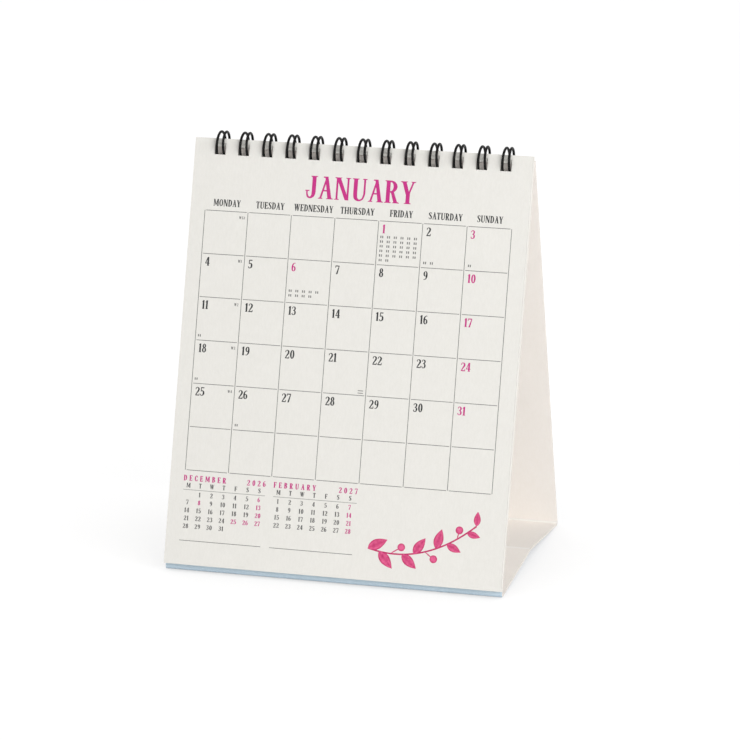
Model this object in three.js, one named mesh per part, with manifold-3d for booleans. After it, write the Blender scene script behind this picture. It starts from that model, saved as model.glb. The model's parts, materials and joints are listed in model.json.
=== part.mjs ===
// Standing desk calendar: a folded card tent, twelve monthly sheets and a twin-loop wire binding.
// Millimetres, +Z up. The sheets face -Y. The origin is under the middle of the tent, on the table.
import * as THREE from 'three';
import Module from 'manifold-3d';
import { mergeVertices } from 'three/addons/utils/BufferGeometryUtils.js';

// Monthly sheets
const sheetWidth = 120;
const sheetHeight = 148;
const sheetThickness = 0.14;
const sheetAir = 0.02;
const monthNames = [
  'january', 'february', 'march', 'april', 'may', 'june',
  'july', 'august', 'september', 'october', 'november', 'december',
];

// Card tent
const cardThickness = 0.6;
const baseDepth = 86;
const creaseRise = 3.7;
const footWidth = 1.6;
const creaseGap = 0.1;
const stripBelowSheets = 2.2;
const panelTopAboveAxis = 0.25;
const padClearance = 0.08;

// Twin-loop wire
const wireDiameter = 0.9;
const ringRadius = 4.5;
const loopPitch = 25.4 / 3;
const loopCount = 13;
const spineSpacing = 2.65;
const tipSpacing = 1.1;
const bendRadius = 0.8;
const wireSides = 6;
const arcSteps = 18;
const bendSteps = 3;
const turnSteps = 5;
const seamGap = 0.4;

// Punched holes
const holeSize = 4;
const holeClearance = 0.08;
const sheetEdgeAboveAxis = 1.85;
const tipClearance = 0.06;
const punchDepth = 3;

// Distances of the pieces from the ring axis, measured square to the front of the tent
const cardInnerDistance = 0.3;
const cardOuterDistance = cardInnerDistance + cardThickness;
const sheetPitch = sheetThickness + sheetAir;
const padCount = monthNames.length - 1;
const padInnerDistance = cardOuterDistance + padClearance;
const padOuterDistance = padInnerDistance + padCount * sheetPitch - sheetAir;
const frontSheetDistance = Math.hypot(padOuterDistance, sheetEdgeAboveAxis) + tipClearance;

// The tent's lean puts the ring axis over the middle of the base
const axisAlongPanel = stripBelowSheets + sheetHeight - sheetEdgeAboveAxis;
const panelReach = Math.hypot(axisAlongPanel, cardOuterDistance);
const lean = Math.asin(baseDepth / 2 / panelReach) - Math.atan2(cardOuterDistance, axisAlongPanel);
const axisHeight = axisAlongPanel * Math.cos(lean) - cardOuterDistance * Math.sin(lean);

// The origin lies under the middle of the whole object, sheets included
const sheetFrontReach = (frontSheetDistance + sheetThickness - cardOuterDistance) * Math.cos(lean)
  - stripBelowSheets * Math.sin(lean);
const frontCreaseY = (sheetFrontReach - baseDepth) / 2;
const axisY = frontCreaseY + baseDepth / 2;

const calendar = new THREE.Group();

function paint(colour, roughness, metalness = 0) {
  return new THREE.MeshStandardMaterial({ color: colour, roughness, metalness });
}

function addPiece(name, geometry, material, parent = calendar) {
  const piece = new THREE.Mesh(geometry, material);
  piece.name = name;
  parent.add(piece);
  return piece;
}

// Boolean cuts: a geometry becomes a solid, is cut, and comes back as a geometry
const wasm = await Module();
wasm.setup();

function solidOf(geometry) {
  const bare = geometry.clone();
  bare.deleteAttribute('normal');
  bare.deleteAttribute('uv');
  const merged = mergeVertices(bare);
  return new wasm.Manifold(new wasm.Mesh({
    numProp: 3,
    vertProperties: new Float32Array(merged.attributes.position.array),
    triVerts: new Uint32Array(merged.index.array),
  }));
}

function geometryOf(solid) {
  const mesh = solid.getMesh();
  const geometry = new THREE.BufferGeometry();
  geometry.setAttribute('position', new THREE.BufferAttribute(new Float32Array(mesh.vertProperties), 3));
  geometry.setIndex(new THREE.BufferAttribute(new Uint32Array(mesh.triVerts), 1));
  geometry.computeVertexNormals();
  return geometry;
}

// A punched plate in its own plane: y runs up the plate from the ring axis, z towards its face
function punchedPlate(bottom, top, holeBottom, thickness) {
  const sheet = new THREE.BoxGeometry(sheetWidth, top - bottom, thickness);
  sheet.translate(0, (top + bottom) / 2, thickness / 2);
  let plate = solidOf(sheet);
  for (let i = 0; i < loopCount; i += 1) {
    const punch = new THREE.BoxGeometry(holeSize, holeSize, punchDepth);
    punch.translate((i - (loopCount - 1) / 2) * loopPitch, holeBottom + holeSize / 2, thickness / 2);
    plate = plate.subtract(solidOf(punch));
  }
  return geometryOf(plate);
}

// The wire leaves a plate's plane lowest at its far face, on the outside of the wire
function holeBottomFor(innerDistance) {
  const wireOutside = ringRadius + wireDiameter / 2;
  return -Math.sqrt(wireOutside ** 2 - innerDistance ** 2) - holeClearance;
}

// The card stands and the wire is drawn up in it: the wire lies in the upper end of the card's holes
function cardHoleBottom() {
  const wireInside = ringRadius - wireDiameter / 2;
  return -Math.sqrt(wireInside ** 2 - cardOuterDistance ** 2) + holeClearance - holeSize;
}

// Groups hold the front and the back of the tent: the ring axis is their x axis
const frontSide = new THREE.Group();
frontSide.position.set(0, axisY, axisHeight);
frontSide.rotation.x = Math.PI / 2 - lean;
calendar.add(frontSide);

const backSide = new THREE.Group();
backSide.position.set(0, axisY, axisHeight);
backSide.rotation.set(Math.PI / 2 - lean, 0, Math.PI, 'ZXY');
calendar.add(backSide);

// Tent panels, with a mitred lower end that meets the base at the crease
const halfBase = baseDepth / 2;
const baseSlope = Math.atan2(creaseRise, halfBase - footWidth);
const creaseCorner = Math.PI / 2 - lean;
const innerMitre = cardThickness / Math.tan(creaseCorner / 2);
const endTolerance = 1e-4;

function tentPanel() {
  const bottom = -axisAlongPanel;
  const geometry = punchedPlate(bottom, panelTopAboveAxis, cardHoleBottom(), cardThickness);
  const place = geometry.attributes.position;
  for (let i = 0; i < place.count; i += 1) {
    const onLowerEnd = Math.abs(place.getY(i) - bottom) < endTolerance;
    if (onLowerEnd) {
      const inside = place.getZ(i) < cardThickness / 2;
      place.setY(i, bottom + creaseGap / 2 + (inside ? innerMitre : 0));
    }
  }
  geometry.translate(0, 0, cardInnerDistance);
  return geometry;
}

addPiece('stand_front_panel', tentPanel(), paint('#a9c1cf', 0.7), frontSide);
addPiece('stand_back_panel', tentPanel(), paint('#a9c1cf', 0.7), backSide);

// Each half of the base has a flat foot at its crease and rises to the middle crease
function baseHalf(towards) {
  const footTurn = cardThickness * Math.tan(baseSlope / 2);
  const middle = halfBase - creaseGap / 2;
  const middleRise = creaseRise - Math.tan(baseSlope) * creaseGap / 2;
  const upright = cardThickness / Math.cos(baseSlope);
  const outline = new THREE.Shape();
  outline.moveTo(creaseGap / 2, 0);
  outline.lineTo(footWidth, 0);
  outline.lineTo(middle, middleRise);
  outline.lineTo(middle, middleRise + upright);
  outline.lineTo(footWidth - footTurn, cardThickness);
  outline.lineTo(innerMitre + creaseGap / 2, cardThickness);
  outline.closePath();
  const geometry = new THREE.ExtrudeGeometry(outline, { depth: sheetWidth, bevelEnabled: false });
  geometry.translate(0, 0, -sheetWidth / 2);
  const half = new THREE.Group();
  half.rotation.set(Math.PI / 2, 0, towards * Math.PI / 2, 'ZYX');
  half.position.set(0, axisY - towards * halfBase, 0);
  calendar.add(half);
  return { geometry, half };
}

const card = paint('#ebe2da', 0.8);
const baseFront = baseHalf(1);
addPiece('stand_base_front', baseFront.geometry, card, baseFront.half);
const baseRear = baseHalf(-1);
addPiece('stand_base_rear', baseRear.geometry, card, baseRear.half);

// Monthly sheets: the first one hangs a little proud of the pad, so that its edge turns freely
const sheetBottom = sheetEdgeAboveAxis - sheetHeight;
monthNames.forEach((month, index) => {
  const behindFront = padOuterDistance - sheetThickness - (index - 1) * sheetPitch;
  const distance = index === 0 ? frontSheetDistance : behindFront;
  const geometry = punchedPlate(sheetBottom, sheetEdgeAboveAxis, sheetHoleBottom(distance), sheetThickness);
  geometry.translate(0, 0, distance);
  const number = String(index + 1).padStart(2, '0');
  addPiece(`sheet_${number}_${month}`, geometry, paint('#ecebe6', 0.85), frontSide);
});

// The pad is punched as one block: its holes are deep enough for the wire at every sheet
function sheetHoleBottom(distance) {
  return distance === frontSheetDistance ? holeBottomFor(frontSheetDistance) : holeBottomFor(padInnerDistance);
}

// Wire binding: one continuous wire. Ring angles run from the front, over the top, to the back.
const seamAngle = (wireDiameter + seamGap) / ringRadius;
const spineAngle = -Math.PI / 2 + seamAngle / 2;
const tipAngle = Math.PI * 1.5 - seamAngle / 2;

function ringPoint(x, angle) {
  return new THREE.Vector3(
    x,
    axisY - ringRadius * Math.cos(angle),
    axisHeight + ringRadius * Math.sin(angle),
  );
}

// The path is drawn flat, as x and ring angle, and rolled up round the ring axis.
// The two arcs of a loop draw together from the spine to the closed tip.
function wirePath() {
  const points = [];
  const turnRadius = tipSpacing / 2;
  const bendAngle = bendRadius / ringRadius;
  const turnAngle = turnRadius / ringRadius;
  const arcStart = spineAngle + bendAngle;
  const arcEnd = tipAngle - turnAngle;
  const halfSpine = spineSpacing / 2;
  const add = (x, angle) => points.push(ringPoint(x, angle));
  for (let i = 0; i < loopCount; i += 1) {
    const x = (i - (loopCount - 1) / 2) * loopPitch;
    const left = x - halfSpine;
    const right = x + halfSpine;
    const addOnArc = (side, share) => {
      const reach = halfSpine + (turnRadius - halfSpine) * share;
      add(x + side * reach, arcStart + (arcEnd - arcStart) * share);
    };
    add(left - bendRadius - (i === 0 ? bendRadius : 0), spineAngle);
    for (let s = 1; s <= bendSteps; s += 1) {
      const turn = (s / bendSteps) * Math.PI / 2;
      add(left - bendRadius + bendRadius * Math.sin(turn), spineAngle + bendAngle * (1 - Math.cos(turn)));
    }
    for (let s = 1; s <= arcSteps; s += 1) {
      addOnArc(-1, s / arcSteps);
    }
    for (let s = 1; s <= turnSteps; s += 1) {
      const turn = Math.PI * s / turnSteps;
      add(x - turnRadius * Math.cos(turn), arcEnd + turnAngle * Math.sin(turn));
    }
    for (let s = arcSteps - 1; s >= 0; s -= 1) {
      addOnArc(1, s / arcSteps);
    }
    for (let s = bendSteps - 1; s >= 1; s -= 1) {
      const turn = (s / bendSteps) * Math.PI / 2;
      add(right + bendRadius - bendRadius * Math.sin(turn), spineAngle + bendAngle * (1 - Math.cos(turn)));
    }
    add(right + bendRadius + (i === loopCount - 1 ? bendRadius : 0), spineAngle);
  }
  return points;
}

// A round tube along a run of points, its rings carried along without twist
function tubeAlong(points, radius, sides) {
  const positions = [];
  const indices = [];
  const normal = new THREE.Vector3(0, 0, 1);
  const side = new THREE.Vector3();
  points.forEach((point, i) => {
    const before = points[Math.max(i - 1, 0)];
    const after = points[Math.min(i + 1, points.length - 1)];
    const tangent = after.clone().sub(before).normalize();
    normal.addScaledVector(tangent, -normal.dot(tangent)).normalize();
    side.crossVectors(tangent, normal);
    for (let k = 0; k < sides; k += 1) {
      const a = 2 * Math.PI * k / sides;
      const corner = point.clone();
      corner.addScaledVector(normal, radius * Math.cos(a));
      corner.addScaledVector(side, radius * Math.sin(a));
      positions.push(corner.x, corner.y, corner.z);
    }
  });
  for (let i = 0; i < points.length - 1; i += 1) {
    for (let k = 0; k < sides; k += 1) {
      const a = i * sides + k;
      const b = i * sides + (k + 1) % sides;
      indices.push(a, b, b + sides, a, b + sides, a + sides);
    }
  }
  const last = (points.length - 1) * sides;
  for (let k = 1; k < sides - 1; k += 1) {
    indices.push(0, k + 1, k);
    indices.push(last, last + k, last + k + 1);
  }
  const geometry = new THREE.BufferGeometry();
  geometry.setAttribute('position', new THREE.Float32BufferAttribute(positions, 3));
  geometry.setIndex(indices);
  return mergeVertices(geometry);
}

addPiece('wire_binding', tubeAlong(wirePath(), wireDiameter / 2, wireSides), paint('#16171a', 0.3, 0.6));

export default calendar;
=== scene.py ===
# %% [markdown]
# # A standing desk calendar
# The real object is a folded card tent that carries twelve monthly sheets on a twin-loop wire.
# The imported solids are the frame. This script dresses them: it folds a proper card, bends a round
# wire, and prints every sheet. Each step below says what the piece is, how it could be made, and
# why it is made this way.

# %% Load the frame
import json
import math
import random
from calendar import monthcalendar
from datetime import date

import bpy
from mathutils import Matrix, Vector
from mathutils.geometry import delaunay_2d_cdt


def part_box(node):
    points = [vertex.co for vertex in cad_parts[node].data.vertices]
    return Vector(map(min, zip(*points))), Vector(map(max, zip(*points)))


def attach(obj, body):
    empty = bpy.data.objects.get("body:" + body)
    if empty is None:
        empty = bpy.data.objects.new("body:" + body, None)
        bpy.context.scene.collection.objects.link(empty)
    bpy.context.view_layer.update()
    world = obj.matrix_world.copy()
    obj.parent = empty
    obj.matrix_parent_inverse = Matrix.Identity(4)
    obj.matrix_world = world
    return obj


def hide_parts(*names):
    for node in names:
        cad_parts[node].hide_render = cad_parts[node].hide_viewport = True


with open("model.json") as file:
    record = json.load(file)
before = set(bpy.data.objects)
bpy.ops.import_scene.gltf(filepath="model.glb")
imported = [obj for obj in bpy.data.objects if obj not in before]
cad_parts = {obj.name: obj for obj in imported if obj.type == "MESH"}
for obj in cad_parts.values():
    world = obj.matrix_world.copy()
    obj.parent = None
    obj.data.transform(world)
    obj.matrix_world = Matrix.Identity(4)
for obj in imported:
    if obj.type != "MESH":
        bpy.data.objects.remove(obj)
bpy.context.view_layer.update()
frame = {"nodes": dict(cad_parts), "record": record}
MM = 0.001

# %% [markdown]
# ## The camera
# A long lens far away keeps the upright lines of a small product nearly parallel. The camera looks
# from a little to the right and a little above, aimed close to the middle of the calendar.

# %% Camera
CAMERA_AZIMUTH = math.radians(15.36)
CAMERA_ELEVATION = math.radians(15.41)
CAMERA_DISTANCE = 1.377
CAMERA_TARGET = Vector((0.0018, 0.001, 0.06466))

camera_data = bpy.data.cameras.new("camera")
camera_data.sensor_width = 36
camera_data.lens = 192.06
camera_data.clip_start = 0.05
camera_data.clip_end = 30
camera = bpy.data.objects.new("camera", camera_data)
bpy.context.scene.collection.objects.link(camera)
towards_camera = Vector((
    math.sin(CAMERA_AZIMUTH) * math.cos(CAMERA_ELEVATION),
    -math.cos(CAMERA_AZIMUTH) * math.cos(CAMERA_ELEVATION),
    math.sin(CAMERA_ELEVATION),
))
camera.location = CAMERA_TARGET + towards_camera * CAMERA_DISTANCE
camera.rotation_euler = (-towards_camera).to_track_quat("-Z", "Y").to_euler()
bpy.context.scene.camera = camera
print("camera at", [round(c, 3) for c in camera.location])

# %% [markdown]
# ## Where things are
# The tent leans both ways from the wire's axis. Every sheet and both panels are measured from that
# axis: how far up the panel, and how far out in front of it. The axis is the joint of the sheets.
# The lean comes from the box of the first sheet: the box of a leaning plate is its height and its
# thickness, each laid out along both axes.

# %% Sizes in millimetres
SHEET_WIDTH = 120
SHEET_HEIGHT = 148
SHEET_THICKNESS = 0.14
SHEET_EDGE_ABOVE_AXIS = 1.85
CARD_OUTER = 0.9
CARD_THICKNESS = 0.6
PANEL_TOP = 0.25
BASE_DEPTH = 86
CREASE_RISE = 3.7
FOOT_WIDTH = 1.6
HOLE_SIZE = 4
HOLE_CLEARANCE = 0.08
LOOP_COUNT = 13
LOOP_PITCH = 25.4 / 3
WIRE_DIAMETER = 0.9
RING_RADIUS = 4.5
SPINE_SPACING = 2.65
TIP_SPACING = 1.1
BEND_RADIUS = 0.8
SEAM_GAP = 0.4
LOOPS_X = [(i - (LOOP_COUNT - 1) / 2) * LOOP_PITCH for i in range(LOOP_COUNT)]

# %% The axis and the lean
MONTHS = ["january", "february", "march", "april", "may", "june",
          "july", "august", "september", "october", "november", "december"]
SHEETS = [f"sheet_{number:02d}_{month}" for number, month in enumerate(MONTHS, 1)]
turning = frame["record"]["behaviour"]["joints"][0]
AXIS_Y, AXIS_Z = (place / MM for place in turning["pos_m"][1:])
sheet_low, sheet_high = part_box(SHEETS[0])
deep, tall = ((sheet_high[i] - sheet_low[i]) / MM for i in (1, 2))
both = (tall + deep) / (SHEET_HEIGHT + SHEET_THICKNESS)
apart = (tall - deep) / (SHEET_HEIGHT - SHEET_THICKNESS)
LEAN = math.atan2(both - apart, both + apart)


def from_axis(x, up, out):
    """A point on the front of the tent, in metres, from millimetres up the panel and out of it."""
    return Vector((
        x,
        AXIS_Y - out * math.cos(LEAN) + up * math.sin(LEAN),
        AXIS_Z + out * math.sin(LEAN) + up * math.cos(LEAN),
    )) * MM


def sheet_face(index):
    """How far a sheet's printed face stands out from the axis, in millimetres."""
    foot_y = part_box(SHEETS[index])[0][1] / MM
    upright_y = AXIS_Y + (SHEET_EDGE_ABOVE_AXIS - SHEET_HEIGHT) * math.sin(LEAN)
    return (upright_y - foot_y) / math.cos(LEAN)


SHEET_FACES = [sheet_face(index) for index in range(len(SHEETS))]
print("lean:", round(math.degrees(LEAN), 3), "degrees")
print("faces at", [round(face, 2) for face in SHEET_FACES], "mm")

# %% [markdown]
# ## Small helpers
# A mesh from points and faces, a node tree that is easy to write, and a call that turns a Geometry
# Nodes result into a plain mesh.


# %% Mesh helper
def mesh_object(name, points, faces, material=None, smooth=False):
    mesh = bpy.data.meshes.new(name)
    mesh.from_pydata([tuple(p) for p in points], [], faces)
    mesh.update()
    mesh.polygons.foreach_set("use_smooth", [smooth] * len(mesh.polygons))
    if material:
        mesh.materials.append(material)
    piece = bpy.data.objects.new(name, mesh)
    bpy.context.scene.collection.objects.link(piece)
    return piece


def grid_faces(rows, columns, left_out=()):
    """The faces of a grid of points, row by row, without the cells that are left out."""
    wide = columns + 1
    corners = [row * wide + column for row in range(rows) for column in range(columns)
               if (row, column) not in left_out]
    return [(a, a + wide, a + wide + 1, a + 1) for a in corners]


# %% Node helpers
def add_node(tree, kind, settings=None, **inputs):
    """A node with its settings, and its inputs as values or as the sockets that feed them.

    An input goes by its name, or by its number where names repeat: _3 is the input with index 3.
    """
    made = tree.nodes.new(kind)
    for key, value in (settings or {}).items():
        setattr(made, key, value)
    for key, value in inputs.items():
        socket = made.inputs[int(key[1:])] if key[0] == "_" else made.inputs[key.replace("_", " ")]
        if isinstance(value, bpy.types.NodeSocket):
            tree.links.new(value, socket)
        else:
            socket.default_value = value
    return made


def maths(tree, operation, a, b, clamp=False):
    """The result of a Math node."""
    settings = {"operation": operation, "use_clamp": clamp}
    return add_node(tree, "ShaderNodeMath", settings, _0=a, _1=b).outputs[0]


def ranged(tree, value, given=(0.0, 1.0), wanted=(0.0, 1.0), kind="LINEAR"):
    """A value carried from one range to another, without leaving the wanted range."""
    (a, b), (c, d) = given, wanted
    return add_node(tree, "ShaderNodeMapRange", {"interpolation_type": kind}, Value=value,
                    _1=a, _2=b, _3=c, _4=d).outputs[0]


def blend(tree, share, first, second):
    """The result of a Mix node between two numbers."""
    return add_node(tree, "ShaderNodeMix", _0=share, _2=first, _3=second).outputs[0]


def blend_colours(tree, share, first, second):
    """The result of a Mix node between two colours."""
    mix = add_node(tree, "ShaderNodeMix", {"data_type": "RGBA"}, _0=share, _6=first, _7=second)
    return mix.outputs[2]


def noise(tree, place, scale, detail, roughness=0.5, distortion=0.0):
    """A cloudy value between 0 and 1."""
    return add_node(tree, "ShaderNodeTexNoise", Vector=place, Scale=scale, Detail=detail,
                    Roughness=roughness, Distortion=distortion).outputs[0]


def bumped(tree, height, strength, depth):
    """A normal that follows small heights."""
    return add_node(tree, "ShaderNodeBump", Strength=strength, Distance=depth, Height=height).outputs[0]


def object_place(tree):
    """Where a point is on its own piece, in metres."""
    return add_node(tree, "ShaderNodeTexCoord").outputs["Object"]


def nodes_to_mesh(piece, tree, values):
    """Runs a node tree on a piece with named values and keeps the result as a plain mesh."""
    modifier = piece.modifiers.new("nodes", "NODES")
    modifier.node_group = tree
    sockets = {s.name: s.identifier for s in tree.interface.items_tree if s.in_out == "INPUT"}
    for name, value in values.items():
        modifier[sockets[name]] = value
    depsgraph = bpy.context.evaluated_depsgraph_get()
    result = bpy.data.meshes.new_from_object(piece.evaluated_get(depsgraph))
    piece.modifiers.remove(modifier)
    result.name = piece.name
    piece.data = result
    return piece


def node_group(name, kind, inputs, outputs):
    """An empty node tree with named sockets: returns it, what goes in and what comes out."""
    tree = bpy.data.node_groups.new(name, kind)
    for direction, sockets in (("INPUT", inputs), ("OUTPUT", outputs)):
        for label, socket_type in sockets:
            tree.interface.new_socket(label, in_out=direction, socket_type=socket_type)
    return tree, tree.nodes.new("NodeGroupInput").outputs, tree.nodes.new("NodeGroupOutput").inputs


def geometry_tree(name, inputs):
    """An empty Geometry Nodes tree with named inputs."""
    through = ("Geometry", "NodeSocketGeometry")
    return node_group(name, "GeometryNodeTree", [through, *inputs], [through])


def finish_tree(tree, output, geometry, material_socket):
    """Ends a tree in Realize Instances and Set Material."""
    real = add_node(tree, "GeometryNodeRealizeInstances", Geometry=geometry)
    painted = add_node(tree, "GeometryNodeSetMaterial", Geometry=real.outputs[0],
                       Material=material_socket)
    tree.links.new(painted.outputs[0], output["Geometry"])


FLOAT, INTEGER, VECTOR = "NodeSocketFloat", "NodeSocketInt", "NodeSocketVector"
MATERIAL, OBJECT = "NodeSocketMaterial", "NodeSocketObject"

# %% [markdown]
# ## Paper grain
# The sheets are uncoated felt-marked paper and the tent is pulp card. Both show the same thing at
# different strength: soft cloudy formation, short fibres, and a fine tooth. One shader group holds
# it, so that sheets, card faces and cut edges stay one family.

# %% Paper grain group
GRAIN_PER_MM = {"Tooth per mm": 3.0, "Cloud per mm": 0.22, "Fibre per mm": 1.6}
grain, grain_in, grain_out = node_group(
    "paper_grain", "ShaderNodeTree", [(label, FLOAT) for label in GRAIN_PER_MM],
    [("Tone", FLOAT), ("Height", FLOAT)])
for socket in grain.interface.items_tree:
    if socket.name in GRAIN_PER_MM:
        socket.default_value = GRAIN_PER_MM[socket.name]
in_mm = add_node(grain, "ShaderNodeVectorMath", {"operation": "SCALE"}, _0=object_place(grain),
                 Scale=1 / MM).outputs[0]
tooth = noise(grain, in_mm, grain_in["Tooth per mm"], detail=3.0, roughness=0.6)
cloud = noise(grain, in_mm, grain_in["Cloud per mm"], detail=2.0)
FIBRE_STRETCH = (1.0, 0.4, 0.3)
drawn = add_node(grain, "ShaderNodeMapping", Vector=in_mm, Scale=FIBRE_STRETCH).outputs[0]
fibre = noise(grain, drawn, grain_in["Fibre per mm"], detail=4.0, roughness=0.65, distortion=0.6)
threads = ranged(grain, fibre, (0.38, 0.62))
felt = add_node(grain, "ShaderNodeTexVoronoi", {"feature": "SMOOTH_F1"}, Vector=in_mm, Scale=1.1,
                Smoothness=1.0).outputs["Distance"]
tone = blend(grain, 0.35, blend(grain, 0.45, cloud, threads), tooth)
height = blend(grain, 0.3, blend(grain, 0.35, tooth, threads), felt)
grain.links.new(tone, grain_out["Tone"])
grain.links.new(height, grain_out["Height"])
print("paper grain group has", len(grain.nodes), "nodes")


# %% [markdown]
# ## Finishes
# Colours are written as they look in print. Paper takes its two shades from the grain's tone, and
# its tooth from the grain's height. Ink lets a little of the tooth through, as offset ink does on
# uncoated stock.


# %% Colour and material helpers
def colour(code):
    """A web colour as linear light."""
    channels = [int(code[i:i + 2], 16) / 255 for i in (1, 3, 5)]
    return tuple(c / 12.92 if c <= 0.04045 else ((c + 0.055) / 1.055) ** 2.4 for c in channels) + (1.0,)


def new_material(name):
    """A material, its node tree and its Principled BSDF."""
    material = bpy.data.materials.new(name)
    material.use_nodes = True
    return material, material.node_tree, material.node_tree.nodes["Principled BSDF"]


def feed(tree, surface, sockets):
    """Links results to the named inputs of a shader."""
    for name, socket in sockets.items():
        tree.links.new(socket, surface.inputs[name])


# %% Paper, card and ink materials
TOOTH_DEPTH = 0.06 * MM
PAPER_GLOSS = 0.3


def paper_material(name, pale, deep, roughness=(0.78, 0.92), bump=0.25, tooth_per_mm=3.0,
                   cloud_per_mm=0.22):
    material, tree, surface = new_material(name)
    texture = add_node(tree, "ShaderNodeGroup", {"node_tree": grain})
    texture.inputs["Tooth per mm"].default_value = tooth_per_mm
    texture.inputs["Cloud per mm"].default_value = cloud_per_mm
    tone, height = texture.outputs["Tone"], texture.outputs["Height"]
    feed(tree, surface, {
        "Base Color": blend_colours(tree, tone, colour(deep), colour(pale)),
        "Roughness": ranged(tree, tone, wanted=roughness),
        "Normal": bumped(tree, height, bump, TOOTH_DEPTH),
    })
    surface.inputs["Specular IOR Level"].default_value = PAPER_GLOSS
    return material


sheet_paper = paper_material("sheet_paper", "#e7e5e0", "#dddbd5")
card_outside = paper_material("card_outside", "#c8d8e4", "#b5cad7", roughness=(0.5, 0.65), bump=0.15,
                              tooth_per_mm=2.0, cloud_per_mm=0.1)
card_inside = paper_material("card_inside", "#fbf7f3", "#f5f0ea", bump=0.35, tooth_per_mm=2.0)
card_edge = paper_material("card_edge", "#ded9d3", "#cbc4bc", bump=0.6, tooth_per_mm=5.0)
INK_ROUGHNESS = (0.55, 0.7)
ink_black = paper_material("ink_black", "#363739", "#252628", INK_ROUGHNESS)
ink_magenta = paper_material("ink_magenta", "#c83489", "#b62476", INK_ROUGHNESS)
ink_grey = paper_material("ink_grey", "#767674", "#5e5e5c", INK_ROUGHNESS)
print("paper finishes:", len(bpy.data.materials))

# %% [markdown]
# ## Painted light along the folds
# A paler line along the middle fold is a painted highlight. A darker line along each end fold is
# painted shade that tones down the light the rounded fold catches. A group measures how far a point is
# from a fold, seen from the end of the tent, and puts out a soft mask.

# %% Fold light mask group
fold_line, given, output = node_group(
    "fold_line", "ShaderNodeTree", [("Fold", VECTOR), ("Half width", FLOAT)], [("Mask", FLOAT)])
from_end = add_node(fold_line, "ShaderNodeVectorMath", {"operation": "MULTIPLY"},
                    _0=object_place(fold_line), _1=(0, 1, 1)).outputs[0]
away = add_node(fold_line, "ShaderNodeVectorMath", {"operation": "DISTANCE"}, _0=from_end,
                _1=given["Fold"]).outputs["Value"]
mask = ranged(fold_line, away, (0.0, given["Half width"]), (1.0, 0.0), kind="SMOOTHSTEP")
fold_line.links.new(mask, output["Mask"])

# %% Painted fold light on the inner face
tree = card_inside.node_tree
surface = tree.nodes["Principled BSDF"]
card_tone_and_fold_light = surface.inputs["Base Color"].links[0].from_socket
END_FOLD_IN, END_FOLD_HIGH, END_FOLD_PAINTED_SHADE = 0.4, 1.0, "#f0eeea"
end_fold = BASE_DEPTH / 2 - CARD_THICKNESS - END_FOLD_IN
# The middle fold gets a paler colour as a painted highlight; the end folds get a darker colour as
# painted shade.
for name, (y, z), half_width, painted_fold_tone in (
        ("middle_fold", (AXIS_Y, CREASE_RISE + CARD_THICKNESS), 1.3, "#fffdfa"),
        ("rear_fold", (AXIS_Y + end_fold, END_FOLD_HIGH), 0.8, END_FOLD_PAINTED_SHADE),
        ("front_fold", (AXIS_Y - end_fold, END_FOLD_HIGH), 0.8, END_FOLD_PAINTED_SHADE)):
    line = add_node(tree, "ShaderNodeGroup", {"node_tree": fold_line, "name": name},
                    Fold=(0, y * MM, z * MM), Half_width=half_width * MM)
    card_tone_and_fold_light = blend_colours(tree, line.outputs["Mask"], card_tone_and_fold_light, colour(painted_fold_tone))
tree.links.new(card_tone_and_fold_light, surface.inputs["Base Color"])
print("folds drawn on the inner face: 3")

# %% [markdown]
# ## Bare top of the front panel
# Behind the pad the blue print stops short of the top: bare warm card shows through the punched
# holes. A mask made from height and side lays the bare card over the print.

# %% Unprinted band
BARE_BAND = 10.0
PRINT_FADE = 0.1
BARE_CARD = colour("#fbf4ef")
tree = card_outside.node_tree
surface = tree.nodes["Principled BSDF"]
printed_blue = surface.inputs["Base Color"].links[0].from_socket
spot = add_node(tree, "ShaderNodeSeparateXYZ", _0=object_place(tree)).outputs
print_end = AXIS_Z - BARE_BAND
high = ranged(tree, spot["Z"], ((print_end - PRINT_FADE) * MM, (print_end + PRINT_FADE) * MM),
              kind="SMOOTHSTEP")
in_front = maths(tree, "LESS_THAN", spot["Y"], AXIS_Y * MM)
bare = maths(tree, "MULTIPLY", high, in_front)
tree.links.new(blend_colours(tree, bare, printed_blue, BARE_CARD), surface.inputs["Base Color"])
print("bare card from", round(print_end, 1), "mm up on the front panel")

# %% [markdown]
# ## Wire enamel
# The binding is steel wire in a thin black nylon coat. It is smooth and slightly glossy, with a
# faint orange-peel and paler rub marks where it has been closed in the press.


# %% Wire material
WIRE_GLOSS = 0.12
PEEL_DEPTH = 0.01 * MM
wire_coat, tree, surface = new_material("wire_coat")
place = object_place(tree)
peel = noise(tree, place, 2600.0, detail=2.0)
rub = noise(tree, place, 420.0, detail=4.0, roughness=0.7)
rubbed = ranged(tree, rub, (0.55, 0.75))
feed(tree, surface, {
    "Base Color": blend_colours(tree, rubbed, colour("#060506"), colour("#110f11")),
    "Roughness": ranged(tree, rub, wanted=(0.38, 0.52)),
    "Normal": bumped(tree, peel, 0.2, PEEL_DEPTH),
})
surface.inputs["Specular IOR Level"].default_value = WIRE_GLOSS
print("wire coat ready")

# %% [markdown]
# ## The card tent
# The tent is one strip of card, scored and folded: front panel, base in two halves, back panel. A
# box for each part would show seams at the folds. Here the outer face is drawn as one path with
# round folds, cut into a grid that has a cell for every punched hole, and Solidify gives the card
# its thickness. The printed face, the plain inner face and the cut edges then get their own finish.


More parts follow.
